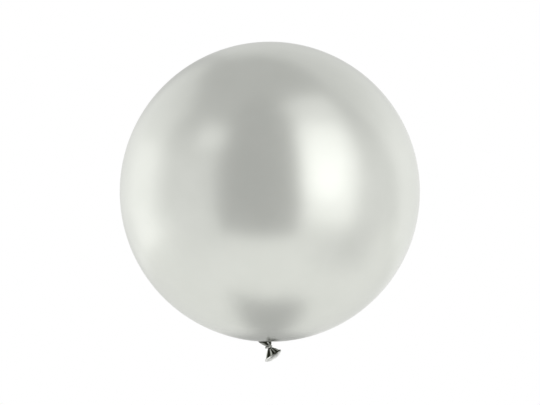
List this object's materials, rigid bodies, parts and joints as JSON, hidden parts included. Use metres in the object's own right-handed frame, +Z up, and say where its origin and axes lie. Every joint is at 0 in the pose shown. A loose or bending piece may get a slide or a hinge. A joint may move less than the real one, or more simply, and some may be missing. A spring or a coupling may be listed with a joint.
{
  "type": "round party balloon",
  "caption": "Round latex balloon, blown up: a satin ball with a gathered neck, a hand-tied knot and a short flared tail with a rolled lip.",
  "frame": {"origin": "centre of the ball, at the air that holds the balloon up", "axes": "+Z up through the crown, with the knot below; -Y is the front, as in the picture; +X is the side that the mouth points to"},
  "size_m": [0.6, 0.6, 0.6394],
  "materials": {
    "pearl_latex": "stretched metallic pearl silver, satin",
    "slack_latex": "slack metallic silver, glossy, with deep pleats",
    "rolled_latex": "slack metallic silver, glossy, rolled edge"
  },
  "bodies": {
    "root": {"envelope": "pearl_latex", "neck_gather": "slack_latex", "knot_core": "slack_latex", "knot_wrap": "slack_latex", "tail_skirt": "slack_latex", "mouth_bead": "rolled_latex"}
  },
  "joints": []
}
